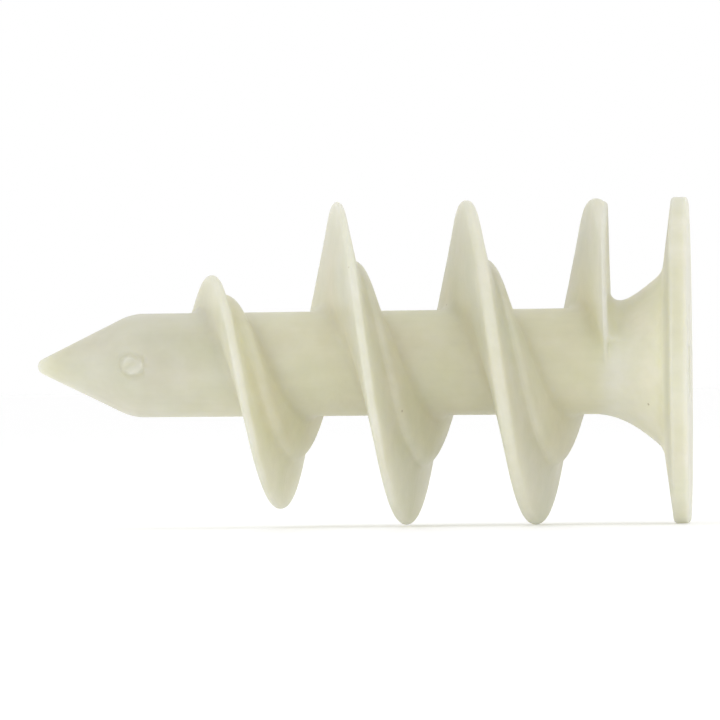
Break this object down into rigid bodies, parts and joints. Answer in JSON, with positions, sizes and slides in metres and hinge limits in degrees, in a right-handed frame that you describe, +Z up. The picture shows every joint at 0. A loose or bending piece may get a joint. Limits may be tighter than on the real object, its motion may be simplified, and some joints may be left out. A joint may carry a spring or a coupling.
{
  "type": "wall anchor",
  "caption": "One-piece nylon plasterboard anchor: conical point, hollow shank with a coarse right-hand thread, broad flat head with a cross recess.",
  "frame": {"origin": "centre of the head's flat outer face, on the anchor's axis", "axes": "+X along the axis, out of the head towards the driver, so the point is at -X; +Z up, in the mould's parting plane XZ; the gate mark faces -Y"},
  "size_m": [0.032, 0.016, 0.016],
  "materials": {
    "nylon": "natural translucent nylon, satin as moulded"
  },
  "bodies": {
    "root": {"anchor_body": "nylon"}
  },
  "joints": []
}
